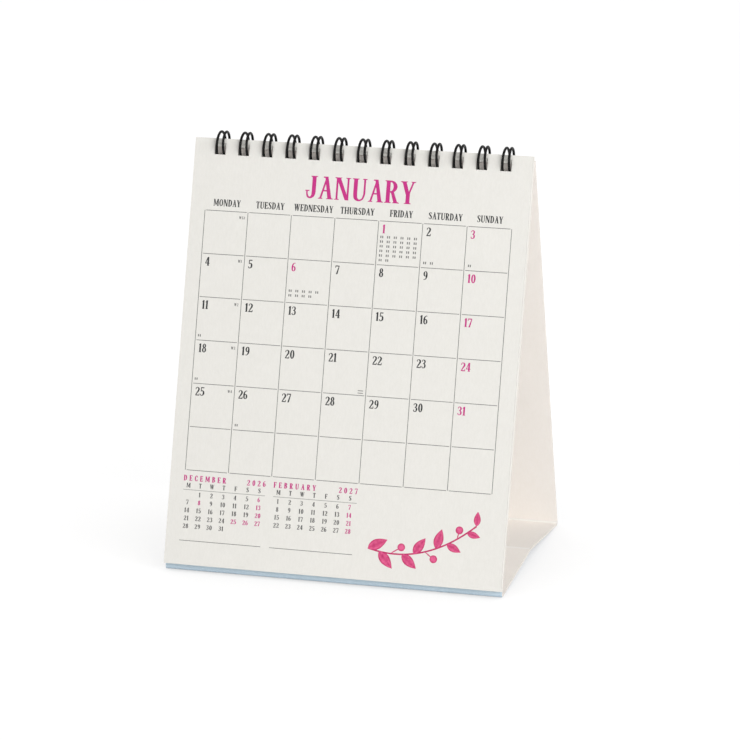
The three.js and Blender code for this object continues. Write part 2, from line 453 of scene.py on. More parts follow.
# %% Card path
def rounded(points, radii, steps=6):
    """A path whose corners are arcs of the given radii."""
    path = [points[0]]
    for before, corner, after, radius in zip(points, points[1:], points[2:], radii):
        back = (before - corner).normalized()
        ahead = (after - corner).normalized()
        half = back.angle(ahead) / 2
        reach = radius / math.tan(half)
        centre = corner + (back + ahead).normalized() * (radius / math.sin(half))
        start = corner + back * reach - centre
        end = corner + ahead * reach - centre
        sweep = start.angle_signed(end)
        for i in range(steps + 1):
            turn = -sweep * i / steps
            path.append(centre + Vector((
                start.x * math.cos(turn) - start.y * math.sin(turn),
                start.x * math.sin(turn) + start.y * math.cos(turn),
            )))
    path.append(points[-1])
    return path


def panel_point(up, side):
    """A point of a panel's outer face, as (y, z) in millimetres. Side is -1 in front and 1 behind."""
    reach = CARD_OUTER * math.cos(LEAN) - up * math.sin(LEAN)
    return Vector((AXIS_Y + side * reach, AXIS_Z + CARD_OUTER * math.sin(LEAN) + up * math.cos(LEAN)))


wire_inside = RING_RADIUS - WIRE_DIAMETER / 2
CARD_HOLE_HIGH = -math.sqrt(wire_inside ** 2 - CARD_OUTER ** 2) + HOLE_CLEARANCE
CARD_HOLE_LOW = CARD_HOLE_HIGH - HOLE_SIZE
FOLD_RADII = [1.0, 1.2, 1.5, 1.2, 1.0]
half_base = BASE_DEPTH / 2
front_top = [panel_point(up, -1) for up in (PANEL_TOP, CARD_HOLE_HIGH, CARD_HOLE_LOW)]
rear_top = [panel_point(up, 1) for up in (CARD_HOLE_LOW, CARD_HOLE_HIGH, PANEL_TOP)]
folds = [
    front_top[-1],
    Vector((AXIS_Y - half_base, 0)),
    Vector((AXIS_Y - half_base + FOOT_WIDTH, 0)),
    Vector((AXIS_Y, CREASE_RISE)),
    Vector((AXIS_Y + half_base - FOOT_WIDTH, 0)),
    Vector((AXIS_Y + half_base, 0)),
    rear_top[0],
]
fold_path = rounded(folds, FOLD_RADII)
card_path = front_top[:-1] + fold_path + rear_top[1:]
print("card path has", len(card_path), "points")

# %% Card mesh with punched holes
columns = [-SHEET_WIDTH / 2]
for x in LOOPS_X:
    columns += [x - HOLE_SIZE / 2, x + HOLE_SIZE / 2]
columns.append(SHEET_WIDTH / 2)
card_points = [(x * MM, y * MM, z * MM) for y, z in card_path for x in columns]
card_rows = len(card_path) - 1
punched = {(row, column) for row in (1, card_rows - 2) for column in range(1, len(columns) - 1, 2)}
card_faces = grid_faces(card_rows, len(columns) - 1, punched)
stand_card = mesh_object("stand_card", card_points, card_faces, card_outside)
stand_card.data.materials.append(card_inside)
stand_card.data.materials.append(card_edge)
outward = stand_card.data.polygons[0].normal
print("panel's first face looks towards", [round(c, 2) for c in outward])

# %% Card thickness
EDGE_SOFTNESS = 0.06
thickness = stand_card.modifiers.new("card", "SOLIDIFY")
thickness.thickness = CARD_THICKNESS * MM
thickness.offset = -1
thickness.use_even_offset = True
thickness.material_offset = 1
thickness.material_offset_rim = 2
soften = stand_card.modifiers.new("edge", "BEVEL")
soften.width = EDGE_SOFTNESS * MM
soften.segments = 2
soften.limit_method = "ANGLE"
soften.angle_limit = math.radians(50)
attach(stand_card, "stand")
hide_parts("stand_front_panel", "stand_back_panel", "stand_base_front", "stand_base_rear")
print("card tent:", len(card_faces), "faces before its thickness")

# %% [markdown]
# ## The wire binding
# The binding is one wire. It runs along the back as a spine, leaves it for each pair of holes, goes
# over the top in two close arcs, and turns back in a round tip between them. Its path is drawn flat,
# as a place along the spine and an angle round the ring, and rolled up. Geometry Nodes sweep a
# circle along it, so the wire's thickness stays a named input.

# %% Wire path
seam_angle = (WIRE_DIAMETER + SEAM_GAP) / RING_RADIUS
spine_angle = -math.pi / 2 + seam_angle / 2
tip_angle = math.pi * 1.5 - seam_angle / 2


def ring_point(x, angle):
    """A point at an angle round the ring, in metres."""
    y, z = AXIS_Y - RING_RADIUS * math.cos(angle), AXIS_Z + RING_RADIUS * math.sin(angle)
    return Vector((x, y, z)) * MM


def wire_path(arc_steps=44, bend_steps=6, turn_steps=14):
    """The wire's points. The two arcs of a loop draw together from the spine to the closed tip."""
    half_spine, half_tip = SPINE_SPACING / 2, TIP_SPACING / 2
    bend = BEND_RADIUS / RING_RADIUS
    turn = half_tip / RING_RADIUS
    arc_start, arc_end = spine_angle + bend, tip_angle - turn

    def on_arc(x, side, share):
        reach = half_spine + (half_tip - half_spine) * share
        return ring_point(x + side * reach, arc_start + (arc_end - arc_start) * share)

    def on_bend(x, side, a):
        reach = half_spine + BEND_RADIUS * (1 - math.sin(a))
        return ring_point(x + side * reach, spine_angle + bend * (1 - math.cos(a)))

    corner = [math.pi / 2 * s / bend_steps for s in range(bend_steps + 1)]
    path = [ring_point(LOOPS_X[0] - half_spine - 2 * BEND_RADIUS, spine_angle)]
    for x in LOOPS_X:
        path += [on_bend(x, -1, a) for a in corner]
        path += [on_arc(x, -1, s / arc_steps) for s in range(1, arc_steps + 1)]
        path += [ring_point(x - half_tip * math.cos(a), arc_end + turn * math.sin(a))
                 for a in (math.pi * s / turn_steps for s in range(1, turn_steps + 1))]
        path += [on_arc(x, 1, s / arc_steps) for s in range(arc_steps - 1, -1, -1)]
        path += [on_bend(x, 1, a) for a in reversed(corner[:-1])]
    path.append(ring_point(LOOPS_X[-1] + half_spine + 2 * BEND_RADIUS, spine_angle))
    return path


wire_points = wire_path()
wire_length = sum((b - a).length for a, b in zip(wire_points, wire_points[1:]))
print("wire is", round(wire_length, 3), "m long")

# %% Wire tree
wire_tree, given, output = geometry_tree("wire_sweep", [
    ("Wire diameter", FLOAT), ("Sides", INTEGER), ("Coat", MATERIAL)])
line = add_node(wire_tree, "GeometryNodeMeshToCurve", Mesh=given["Geometry"])
section = add_node(wire_tree, "GeometryNodeCurvePrimitiveCircle", Resolution=given["Sides"],
                   Radius=maths(wire_tree, "DIVIDE", given["Wire diameter"], 2.0))
swept = add_node(wire_tree, "GeometryNodeCurveToMesh", Curve=line.outputs[0],
                 Profile_Curve=section.outputs[0], Fill_Caps=True)
round_wire = add_node(wire_tree, "GeometryNodeSetShadeSmooth", Geometry=swept.outputs[0])
finish_tree(wire_tree, output, round_wire.outputs[0], given["Coat"])

wire = mesh_object("wire_loops", wire_points, [])
wire_links = len(wire_points) - 1
wire.data.edges.add(wire_links)
wire.data.edges.foreach_set("vertices", [v for i in range(wire_links) for v in (i, i + 1)])
WIRE_SIDES = 12
nodes_to_mesh(wire, wire_tree, {
    "Wire diameter": WIRE_DIAMETER * MM, "Sides": WIRE_SIDES, "Coat": wire_coat})
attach(wire, "stand")
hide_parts("wire_binding")
print("wire has", len(wire.data.polygons), "faces")

# %% [markdown]
# ## Paper on the sheets
# The frame's sheets are already punched plates of the right thickness. They keep their shape and
# only get the felt-marked paper.

# %% Sheets
for sheet in SHEETS:
    frame["nodes"][sheet].data.materials.clear()
    frame["nodes"][sheet].data.materials.append(sheet_paper)
print("paper on", len(SHEETS), "sheets")

# %% [markdown]
# ## Lettering
# The lettering is a condensed display face: heavy stems, hair-thin joins and small wedge feet. A
# built-in font would not show that contrast. Each character is built from a few strokes with the
# cap height as 1, and the overlapping strokes are joined into one flat outline by a constrained
# triangulation, so that no two faces of ink lie on each other.

# %% Strokes
THICK = 0.165
THIN = 0.07
SERIF = 0.065
SERIF_RISE = 0.055
SERIF_EDGE = 0.02
BOWL_ROUND = 0.75
CURVE_STEPS = 4
RING_STEP = 22.5


def slope(x0, y0, x1, y1, wide, tip=None):
    end = wide if tip is None else tip
    return [[(x0 - wide / 2, y0), (x0 + wide / 2, y0), (x1 + end / 2, y1), (x1 - end / 2, y1)]]


def serif(x, y, wide):
    edge = min(max(y, SERIF_EDGE), 1 - SERIF_EDGE)
    inner = y + (SERIF_RISE if y < 0.5 else -SERIF_RISE)
    reach = wide / 2 + SERIF
    return [[(x - reach, y), (x + reach, y), (x + reach, edge), (x + wide / 2, inner),
             (x - wide / 2, inner), (x - reach, edge)]]


def stem(x, wide=THICK, low=0.0, high=1.0, feet="both"):
    shapes = slope(x, low, x, high, wide)
    if feet in ("both", "low"):
        shapes += serif(x, low, wide)
    if feet in ("both", "high"):
        shapes += serif(x, high, wide)
    return shapes


def slab(x0, x1, y, tall=THIN):
    return [[(x0, y - tall / 2), (x1, y - tall / 2), (x1, y + tall / 2), (x0, y + tall / 2)]]


def tick(x, y0, y1, wide=0.05):
    return slope(x, y0, x, y1, wide)


# %% Curved strokes
def smooth_path(points):
    path = []
    for i in range(len(points) - 1):
        a, b = points[max(i - 1, 0)], points[i]
        c, d = points[i + 1], points[min(i + 2, len(points) - 1)]
        for step in range(CURVE_STEPS):
            t = step / CURVE_STEPS
            path.append([
                0.5 * (2 * b[k] + (c[k] - a[k]) * t
                       + (2 * a[k] - 5 * b[k] + 4 * c[k] - d[k]) * t * t
                       + (3 * b[k] - a[k] - 3 * c[k] + d[k]) * t ** 3)
                for k in range(3)
            ])
    return path + [list(points[-1])]


def ribbon(*points):
    """A curved stroke through (x, y, width) points."""
    path = smooth_path(points)
    left, right = [], []
    for i, (x, y, wide) in enumerate(path):
        ax, ay, _ = path[max(i - 1, 0)]
        bx, by, _ = path[min(i + 1, len(path) - 1)]
        length = math.hypot(bx - ax, by - ay)
        nx, ny = (ay - by) / length * wide / 2, (bx - ax) / length * wide / 2
        left.append((x + nx, y + ny))
        right.append((x - nx, y - ny))
    return [[left[i], right[i], right[i + 1], left[i + 1]] for i in range(len(path) - 1)]


def ring(x, y, rx, ry, start=0, end=360, wide=THICK, thin=THIN):
    """Part of an oval stroke, heavy at its sides and thin at its top and bottom."""
    steps = max(4, round((end - start) / RING_STEP))
    outer, inner = [], []
    for i in range(steps + 1):
        a = math.radians(start + (end - start) * i / steps)
        outer.append((x + rx * math.cos(a), y + ry * math.sin(a)))
        inner.append((x + (rx - wide) * math.cos(a), y + (ry - thin) * math.sin(a)))
    return [[inner[i], outer[i], outer[i + 1], inner[i + 1]] for i in range(steps)]


def bowl(x0, x1, low, high, wide=THICK):
    middle, ry = (low + high) / 2, (high - low) / 2
    turn = x1 - min(ry, (x1 - x0) * BOWL_ROUND)
    return (slab(x0, turn, high - THIN / 2) + slab(x0, turn, low + THIN / 2)
            + ring(turn, middle, x1 - turn, ry, -90, 90, wide))


# %% Capitals
LETTERS = {
    "A": (0.64, slope(0.10, 0, 0.36, 1, 0.075) + slope(0.51, 0, 0.33, 1, THICK, 0.13)
          + slab(0.20, 0.46, 0.37, 0.06) + serif(0.10, 0, 0.07) + serif(0.51, 0, THICK)
          + slab(0.20, 0.40, 0.975, 0.05)),
    "B": (0.60, stem(0.15) + bowl(0.15, 0.52, 0.5, 1) + bowl(0.15, 0.56, 0, 0.55)),
    "C": (0.58, ring(0.32, 0.5, 0.28, 0.51, 48, 312) + tick(0.50, 0.68, 1.0) + tick(0.50, 0.0, 0.32)),
    "D": (0.64, stem(0.15) + bowl(0.15, 0.60, 0, 1)),
    "E": (0.56, stem(0.15) + slab(0.15, 0.50, 0.965) + slab(0.15, 0.42, 0.51, 0.06)
          + slab(0.15, 0.52, 0.035) + tick(0.49, 0.78, 1.0) + tick(0.41, 0.38, 0.64, 0.045)
          + tick(0.51, 0.0, 0.25)),
    "F": (0.54, stem(0.15) + slab(0.15, 0.50, 0.965) + slab(0.15, 0.42, 0.50, 0.06)
          + tick(0.49, 0.76, 1.0) + tick(0.41, 0.37, 0.63, 0.045)),
    "G": (0.64, ring(0.32, 0.5, 0.28, 0.51, 48, 305) + tick(0.50, 0.68, 1.0)
          + stem(0.51, 0.13, 0.02, 0.44, "none") + slab(0.38, 0.60, 0.43, 0.05)),
    "H": (0.72, stem(0.15) + stem(0.57) + slab(0.15, 0.57, 0.51, 0.06)),
    "I": (0.30, stem(0.15)),
    "J": (0.50, stem(0.36, THICK, 0.28, 1, "high")
          + ribbon((0.36, 0.30, THICK), (0.33, 0.13, 0.14), (0.22, 0.03, 0.08), (0.11, 0.08, 0.07),
                   (0.07, 0.22, 0.06), (0.07, 0.34, 0.06)) + slab(0.0, 0.17, 0.34, 0.045)),
    "L": (0.53, stem(0.15) + slab(0.15, 0.49, 0.035) + tick(0.48, 0.0, 0.27)),
    "M": (0.86, stem(0.12, 0.07) + slope(0.16, 1, 0.42, 0.12, THICK, 0.09)
          + slope(0.68, 1, 0.42, 0.12, 0.07) + stem(0.72)),
    "N": (0.70, stem(0.11, 0.075) + slope(0.15, 1, 0.56, 0, THICK) + stem(0.585, 0.075, 0, 1, "high")
          + serif(0.15, 1, THICK)),
    "O": (0.66, ring(0.33, 0.5, 0.30, 0.51)),
    "P": (0.58, stem(0.15) + bowl(0.15, 0.55, 0.42, 1)),
    "R": (0.63, stem(0.15) + bowl(0.15, 0.54, 0.46, 1) + slope(0.50, 0, 0.33, 0.50, THICK, 0.13)
          + serif(0.50, 0, THICK)),
    "S": (0.54, ribbon((0.45, 0.74, 0.05), (0.43, 0.90, 0.06), (0.28, 0.965, 0.07), (0.13, 0.86, 0.13),
                       (0.15, 0.68, 0.155), (0.29, 0.52, 0.17), (0.42, 0.34, 0.16), (0.42, 0.15, 0.13),
                       (0.27, 0.035, 0.07), (0.10, 0.09, 0.06), (0.07, 0.26, 0.05))),
    "T": (0.60, stem(0.30, THICK, 0, 1, "low") + slab(0.04, 0.56, 0.965) + tick(0.055, 0.78, 1.0)
          + tick(0.545, 0.78, 1.0)),
    "U": (0.66, stem(0.15, THICK, 0.3, 1, "high") + stem(0.545, 0.075, 0.3, 1, "high")
          + ribbon((0.15, 0.32, THICK), (0.18, 0.13, 0.15), (0.31, 0.03, 0.08), (0.47, 0.10, 0.07),
                   (0.545, 0.32, 0.075))),
    "V": (0.62, slope(0.32, 0, 0.12, 1, 0.10, THICK) + slope(0.32, 0, 0.54, 1, 0.06, 0.07)
          + serif(0.13, 1, THICK) + serif(0.53, 1, 0.07)),
    "W": (0.90, slope(0.27, 0, 0.12, 1, 0.10, THICK) + slope(0.27, 0, 0.43, 1, 0.06, 0.07)
          + slope(0.60, 0, 0.45, 1, 0.10, THICK) + slope(0.60, 0, 0.80, 1, 0.06, 0.07)
          + serif(0.13, 1, THICK) + serif(0.45, 1, THICK) + serif(0.79, 1, 0.07)),
    "Y": (0.63, stem(0.32, THICK, 0, 0.48, "low") + slope(0.31, 0.42, 0.13, 1, THICK)
          + slope(0.35, 0.42, 0.54, 1, 0.07) + serif(0.13, 1, THICK) + serif(0.54, 1, 0.07)),
}

# %% Figures
SIX = (ribbon((0.44, 0.93, 0.06), (0.31, 0.95, 0.07), (0.17, 0.80, 0.12), (0.105, 0.55, 0.155),
              (0.11, 0.30, THICK))
       + ring(0.26, 0.29, 0.235, 0.30, 0, 360, 0.145, 0.06))
LETTERS.update({
    "0": (0.56, ring(0.28, 0.5, 0.25, 0.51)),
    "1": (0.38, stem(0.20, 0.17, 0, 1, "low") + slope(0.05, 0.80, 0.20, 0.99, 0.07)),
    "2": (0.56, ribbon((0.08, 0.72, 0.06), (0.11, 0.90, 0.07), (0.27, 0.96, 0.07), (0.42, 0.83, 0.15),
                       (0.41, 0.62, 0.165), (0.25, 0.35, 0.12), (0.09, 0.09, 0.07))
          + slab(0.05, 0.50, 0.05, 0.10) + tick(0.495, 0.02, 0.25)),
    "3": (0.54, ribbon((0.07, 0.76, 0.06), (0.12, 0.92, 0.065), (0.26, 0.96, 0.07), (0.39, 0.83, 0.14),
                       (0.36, 0.62, 0.12), (0.20, 0.53, 0.06))
          + ribbon((0.20, 0.54, 0.06), (0.36, 0.48, 0.10), (0.42, 0.28, 0.16), (0.36, 0.10, 0.12),
                   (0.22, 0.035, 0.07), (0.09, 0.08, 0.065), (0.05, 0.24, 0.06))),
    "4": (0.58, slope(0.07, 0.28, 0.34, 1, 0.07) + stem(0.38, 0.165, 0, 1, "low")
          + slab(0.03, 0.54, 0.28, 0.075)),
    "5": (0.54, slab(0.10, 0.47, 0.95, 0.10) + slope(0.12, 0.50, 0.13, 0.98, 0.07)
          + ribbon((0.10, 0.53, 0.06), (0.27, 0.60, 0.08), (0.41, 0.46, 0.15), (0.41, 0.20, 0.165),
                   (0.26, 0.035, 0.075), (0.10, 0.07, 0.065), (0.05, 0.22, 0.06))),
    "6": (0.54, SIX),
    "7": (0.52, slab(0.04, 0.48, 0.95, 0.10) + tick(0.05, 0.74, 0.98)
          + slope(0.22, 0, 0.46, 0.93, 0.165, 0.07)),
    "8": (0.54, ring(0.265, 0.755, 0.20, 0.255, 0, 360, 0.135, 0.06)
          + ring(0.265, 0.285, 0.24, 0.295, 0, 360, 0.155, 0.06)),
    "9": (0.54, [[(0.54 - x, 1 - y) for x, y in shape] for shape in SIX]),
})
print("characters:", "".join(sorted(LETTERS)))


# %% Joined outlines
SLIVER = 1e-7
SAME_POINT = 1e-5
FILL_HULL = 0


def joined(shapes):
    """Overlapping flat strokes as one set of triangles."""
    corners, triangles = [], []
    for shape in shapes:
        for i in range(1, len(shape) - 1):
            a, b, c = (Vector(p) for p in (shape[0], shape[i], shape[i + 1]))
            area = (b - a).cross(c - a)
            if abs(area) > SLIVER:
                first = len(corners)
                corners += [a, b, c] if area > 0 else [a, c, b]
                triangles.append((first, first + 1, first + 2))
    found = delaunay_2d_cdt(corners, [], triangles, FILL_HULL, SAME_POINT, True)
    points, faces, sources = found[0], found[2], found[5]
    return [(p.x, p.y) for p in points], [f for f, inked in zip(faces, sources) if inked]


def swollen(shapes, ink_gain):
    """Every stroke twice, a little apart both ways: small sizes need this extra weight."""
    return [[(x + side * ink_gain, y + side * ink_gain / 2) for x, y in shape]
            for shape in shapes for side in (-1, 1)]


def outlines(ink_gain):
    return {letter: (wide, *joined(swollen(shapes, ink_gain)))
            for letter, (wide, shapes) in LETTERS.items()}


DISPLAY, TEXT, SMALL = (outlines(ink_gain) for ink_gain in (0.004, 0.016, 0.028))
print("faces in an average character:",
      round(sum(len(faces) for _, _, faces in SMALL.values()) / len(SMALL)))


# %% [markdown]
# ## Setting the type
# A sheet's print is gathered ink by ink as flat faces in the sheet's own millimetres: x from its
# left edge and y down from its top edge. Setting a word is then a matter of adding up widths.


# %% Type setter
def add_flat(ink, corners, polygons):
    """Adds flat faces to an ink, which is a list of points and a list of faces."""
    points, faces = ink
    first = len(points)
    points += corners
    faces += [tuple(first + i for i in polygon) for polygon in polygons]


def set_word(ink, text, x, y, tall, spacing=0.0, anchor="left", squeeze=1.0, face=SMALL):
    """Adds a word to an ink. y is the baseline; anchor says which part of the word x is."""
    wide = sum(face[character][0] * tall * squeeze + spacing for character in text) - spacing
    pen = x - {"left": 0, "middle": wide / 2, "right": wide}[anchor]
    for character in text:
        advance, corners, triangles = face[character]
        add_flat(ink, [(pen + px * tall * squeeze, y - py * tall) for px, py in corners], triangles)
        pen += advance * tall * squeeze + spacing


def set_bar(ink, x0, y0, x1, y1):
    """Adds a filled oblong to an ink."""
    add_flat(ink, [(x0, y1), (x1, y1), (x1, y0), (x0, y0)], [(0, 1, 2, 3)])


# %% [markdown]
# ## A month on a sheet
# The grid always has six weeks. A week starts on Monday, Sundays and feast days are magenta, and a
# small grey week mark stands in each Monday cell. Under the grid come the month before and the
# month after, and two rules for notes.

# %% Month layout
YEAR = 2027
GRID_LEFT, GRID_TOP = 5.3, 25.05
GRID_RIGHT, GRID_BOTTOM = 114.45, 115.25
CELL_WIDTH = (GRID_RIGHT - GRID_LEFT) / 7
CELL_HEIGHT = (GRID_BOTTOM - GRID_TOP) / 6
WEEKDAYS = ["MONDAY", "TUESDAY", "WEDNESDAY", "THURSDAY", "FRIDAY", "SATURDAY", "SUNDAY"]
FEAST_DAYS = {(1, 1), (1, 6), (5, 1), (8, 15), (11, 1), (12, 8), (12, 25), (12, 26)}
TITLE_CENTRE, TITLE_BASELINE, WEEKDAY_BASELINE = 60.3, 18.75, 23.4
DAY_RIGHT, DAY_DOWN = 1.45, 4.15
MARK_FROM_RIGHT, MARK_DOWN = 0.95, 2.45
SMALL_HEADING_OUT, SMALL_HEADING_BASELINE, SMALL_INITIAL_BASELINE = 0.1, 118.95, 121.3
SMALL_RULE_TOP, SMALL_RULE_BOTTOM = 122.0, 122.14
SMALL_FIRST_CENTRE, SMALL_COLUMN = 1.8, 4.27
SMALL_FIRST_BASELINE, SMALL_ROW = 124.4, 2.75
MONTH_BEFORE, MONTH_AFTER = (5.1, 34.6), (37.55, 67.4)
NOTE_RULES = [(5.0, 139.55, 34.3, 139.75), (37.45, 139.6, 67.1, 139.8)]

# %% Type styles
TITLE_TYPE = {"tall": 7.7, "spacing": 0.5, "anchor": "middle", "squeeze": 1.06, "face": DISPLAY}
WEEKDAY_TYPE = {"tall": 2.35, "spacing": 0.1, "anchor": "middle", "squeeze": 0.96, "face": TEXT}
DAY_TYPE = {"tall": 2.95, "spacing": 0.12, "face": TEXT}
MARK_TYPE = {"tall": 0.95, "spacing": 0.12, "anchor": "right"}
SMALL_HEADING_TYPE = {"tall": 1.9, "spacing": 0.83}
SMALL_INITIAL_TYPE = {"tall": 1.6, "anchor": "middle", "squeeze": 1.05, "face": TEXT}
SMALL_DAY_TYPE = {"tall": 1.58, "spacing": 0.16, "anchor": "middle", "squeeze": 1.05}


# %% Month setter
def is_magenta(month, day, column):
    return column == 6 or (month, day) in FEAST_DAYS


def set_month_grid(inks, month):
    for row, week in enumerate(monthcalendar(YEAR, month)):
        top = GRID_TOP + row * CELL_HEIGHT
        monday = max(day for day in week if day)
        mark = f"W{date(YEAR, month, monday).isocalendar()[1]}"
        mark_right = GRID_LEFT + CELL_WIDTH - MARK_FROM_RIGHT
        set_word(inks["grey"], mark, mark_right, top + MARK_DOWN, **MARK_TYPE)
        for column, day in enumerate(week):
            if day:
                ink = "magenta" if is_magenta(month, day, column) else "black"
                left = GRID_LEFT + column * CELL_WIDTH
                set_word(inks[ink], str(day), left + DAY_RIGHT, top + DAY_DOWN, **DAY_TYPE)


def set_small_month(inks, year, month, left, right):
    set_word(inks["magenta"], MONTHS[month - 1].upper(), left - SMALL_HEADING_OUT,
             SMALL_HEADING_BASELINE, **SMALL_HEADING_TYPE)
    set_word(inks["magenta"], str(year), right, SMALL_HEADING_BASELINE, anchor="right",
             **SMALL_HEADING_TYPE)
    centres = [left + SMALL_FIRST_CENTRE + column * SMALL_COLUMN for column in range(7)]
    for centre, initial in zip(centres, "MTWTFSS"):
        set_word(inks["black"], initial, centre, SMALL_INITIAL_BASELINE, **SMALL_INITIAL_TYPE)
    set_bar(inks["grey"], left, SMALL_RULE_TOP, right, SMALL_RULE_BOTTOM)
    for row, week in enumerate(monthcalendar(year, month)):
        baseline = SMALL_FIRST_BASELINE + row * SMALL_ROW
        for column, day in enumerate(week):
            if day:
                magenta = is_magenta(month, day, column)
                ink, face = ("magenta", SMALL) if magenta else ("black", TEXT)
                set_word(inks[ink], str(day), centres[column], baseline, face=face, **SMALL_DAY_TYPE)


def set_month(month):
    """All the type and the straight rules of a month, as points and faces for each ink."""
    inks = {"black": ([], []), "magenta": ([], []), "grey": ([], [])}
    set_word(inks["magenta"], MONTHS[month - 1].upper(), TITLE_CENTRE, TITLE_BASELINE, **TITLE_TYPE)
    for column, weekday in enumerate(WEEKDAYS):
        centre = GRID_LEFT + (column + 0.5) * CELL_WIDTH
        set_word(inks["black"], weekday, centre, WEEKDAY_BASELINE, **WEEKDAY_TYPE)
    set_month_grid(inks, month)
    before = (YEAR, month - 1) if month > 1 else (YEAR - 1, 12)
    after = (YEAR, month + 1) if month < 12 else (YEAR + 1, 1)
    set_small_month(inks, *before, *MONTH_BEFORE)
    set_small_month(inks, *after, *MONTH_AFTER)
    for rule in NOTE_RULES:
        set_bar(inks["grey"], *rule)
    return inks


print("January's inks:", {ink: len(faces) for ink, (_, faces) in set_month(1).items()})

# %% [markdown]
# ## Ruled grid and notes
# The ruled lines and the tiny note marks repeat over the cells, so Geometry Nodes lay them out.
# One tree makes points in rows and columns and puts an oblong on each. With one set of values it
# makes the horizontal rules, which stop a little short of the verticals, with another the
# verticals, and with others the rows of note marks.

# %% Row and column tree
rows_tree, given, output = geometry_tree("rows_and_columns", [
    ("Columns", INTEGER), ("Rows", INTEGER), ("Column pitch", FLOAT), ("Row pitch", FLOAT),
    ("Mark width", FLOAT), ("Mark height", FLOAT), ("Ink", MATERIAL)])


def span(count, pitch):
    return maths(rows_tree, "MULTIPLY", maths(rows_tree, "SUBTRACT", count, 1.0), pitch)


lattice = add_node(rows_tree, "GeometryNodeMeshGrid",
                   Size_X=span(given["Columns"], given["Column pitch"]),
                   Size_Y=span(given["Rows"], given["Row pitch"]),
                   Vertices_X=given["Columns"], Vertices_Y=given["Rows"]).outputs[0]
lattice_points = add_node(rows_tree, "GeometryNodeMeshToPoints", Mesh=lattice).outputs[0]
mark = add_node(rows_tree, "GeometryNodeMeshGrid", Size_X=given["Mark width"],
                Size_Y=given["Mark height"], Vertices_X=2, Vertices_Y=2).outputs[0]
marks = add_node(rows_tree, "GeometryNodeInstanceOnPoints", Points=lattice_points,
                 Instance=mark).outputs[0]
finish_tree(rows_tree, output, marks, given["Ink"])


def rows_and_columns(name, columns, rows, mark_size, pitch=(CELL_WIDTH, CELL_HEIGHT)):
    """Flat marks in millimetres, centred on the origin, as (points, faces)."""
    piece = mesh_object(name, [(0, 0, 0)], [])
    nodes_to_mesh(piece, rows_tree, {
        "Columns": columns, "Rows": rows, "Column pitch": pitch[0], "Row pitch": pitch[1],
        "Mark width": mark_size[0], "Mark height": mark_size[1], "Ink": ink_grey})
    points = [(v.co.x, v.co.y) for v in piece.data.vertices]
    faces = [tuple(f.vertices) for f in piece.data.polygons]
    bpy.data.objects.remove(piece)
    return points, faces


# %% Grid lines
LINE_WIDTH = 0.21
LINE_BREAK = 0.9
across = rows_and_columns("rules_across", 7, 7, (CELL_WIDTH - LINE_BREAK, LINE_WIDTH))
upright = rows_and_columns("rules_upright", 8, 1, (LINE_WIDTH, GRID_BOTTOM - GRID_TOP))
print("rules:", len(across[1]), "across and", len(upright[1]), "upright")


def set_pattern(ink, pattern, x, y):
    """Adds a flat pattern to an ink, its centre at x and y."""
    corners, polygons = pattern
    add_flat(ink, [(x + px, y - py) for px, py in corners], polygons)


# %% Note marks
# A pair of short strokes stands for each two-letter note too small to read. For each day: where its
# first pair stands in the cell, across and down, and how many pairs each row has.
NOTE_PITCH, NOTE_ROW, NOTE_SPREAD = 2.38, 1.59, 0.33
NOTE_MARK = (0.36, 0.82)
NOTES = {1: (1.5, 5.45, [6, 6, 6, 6, 6, 2]), 2: (1.65, 13.4, [2]), 3: (1.8, 13.4, [1]),
         6: (1.6, 10.9, [5, 4]), 11: (1.4, 13.4, [1]), 18: (1.4, 13.4, [1]), 26: (1.5, 13.4, [1])}
run_lengths = sorted({pairs for _, _, rows in NOTES.values() for pairs in rows})
note_run = {pairs: rows_and_columns("notes", pairs, 1, NOTE_MARK, (NOTE_PITCH, NOTE_ROW))
            for pairs in run_lengths}
# Two fine strokes stand at the foot of one more cell.
STROKES_DAY = 21
STROKES_DOWN = (13.3, 14.1)
STROKES_LEFT, STROKES_RIGHT, STROKE_HEIGHT = 2.9, 1.0, 0.25


def cell_corner(month, wanted):
    """The top left corner of a day's cell."""
    for row, week in enumerate(monthcalendar(YEAR, month)):
        if wanted in week:
            return GRID_LEFT + week.index(wanted) * CELL_WIDTH, GRID_TOP + row * CELL_HEIGHT


def set_notes(ink, month):
    for day, (x, y, rows) in NOTES.items():
        left, top = cell_corner(month, day)
        for row, pairs in enumerate(rows):
            middle = left + x + (pairs - 1) * NOTE_PITCH / 2
            for side in (-1, 1):
                set_pattern(ink, note_run[pairs], middle + side * NOTE_SPREAD, top + y + row * NOTE_ROW)
    left, top = cell_corner(month, STROKES_DAY)
    right = left + CELL_WIDTH
    for y in STROKES_DOWN:
        set_bar(ink, right - STROKES_LEFT, top + y, right - STROKES_RIGHT, top + y + STROKE_HEIGHT)


print("notes on", len(NOTES), "days, in runs of", run_lengths)

# %% [markdown]
# ## A sprig in the corner
# The corner under the grid carries a small painted ornament: here a leafy sprig with berries in
# pinks. A stem curve carries leaves on alternate sides, smaller towards the tip. Geometry Nodes
# put them there, so every month gets its own sprig from the same leaf by another seed.

# %% Leaf and berry shapes
LEAF_STEPS = 14
LEAF_HALF_WIDTH = 0.24
LEAF_TIP = 0.004
LEAF_ACROSS = [(-1, 1.0), (-0.62, 0.25), (0, 0.7), (0.62, 0.15), (1, 1.0)]
BERRY_RINGS = [(0.6, 0.2), (1.0, 1.0)]


